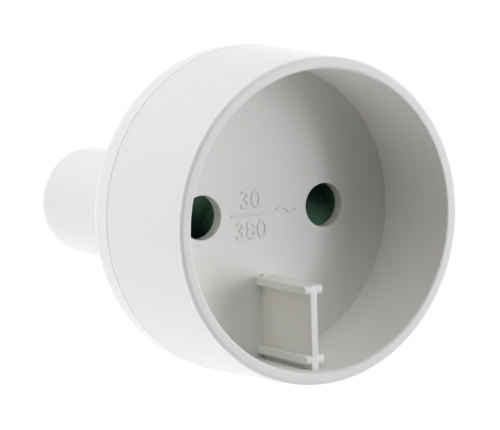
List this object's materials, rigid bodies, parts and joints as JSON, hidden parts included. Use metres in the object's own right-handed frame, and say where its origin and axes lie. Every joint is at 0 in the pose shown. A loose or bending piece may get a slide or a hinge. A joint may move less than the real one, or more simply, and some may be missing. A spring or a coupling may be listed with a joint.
{
  "type": "two-pole cord socket",
  "caption": "Round two-pole cord socket: a deep keyed recess with shuttered pin holes, and a hood that narrows to an off-centre tail for the cord.",
  "frame": {"origin": "centre of the cup, on the plane of the tail's flat end on which the socket stands", "axes": "+Z along the cup's axis out of the mouth, X along the line of the two pin holes, and the key and the off-centre tail on the -Y side"},
  "size_m": [0.0436, 0.0436, 0.0612],
  "materials": {
    "body_plastic": "moulded pale grey-white plastic, glossy outside and satin in the recess",
    "cover_plastic": "moulded pale grey-white plastic, glossy",
    "shutter_plastic": "dark green moulded plastic, satin",
    "carrier_plastic": "moulded off-white insulating plastic, matt",
    "contact_brass": "stamped and drawn brass, bright",
    "screw_steel": "zinc-plated steel",
    "spring_steel": "bright spring steel"
  },
  "bodies": {
    "housing": {"socket_body": "body_plastic", "rear_cover": "cover_plastic", "shutter_spring": "spring_steel", "contact_carrier": "carrier_plastic", "cord_clamp": "carrier_plastic", "contact_left": "contact_brass", "contact_right": "contact_brass", "contact_clip_left": "spring_steel", "contact_clip_right": "spring_steel", "terminal_left": "contact_brass", "terminal_right": "contact_brass", "terminal_screw_left": "screw_steel", "terminal_screw_right": "screw_steel", "clamp_screw_left": "screw_steel", "clamp_screw_right": "screw_steel", "housing_screw_key_side": "screw_steel", "housing_screw_far_side": "screw_steel"},
    "shutter": {"shutter": "shutter_plastic"}
  },
  "joints": [
    {"name": "shutter_turn", "type": "hinge", "parent": "housing", "child": "shutter", "pos_m": [0, 0, 0.0422], "axis": [0, 0, -1], "range_deg": [0, 38.3], "stiffness_Nm_per_rad": 0.003, "springref_deg": -34.38, "deforming": ["shutter_spring"]}
  ]
}
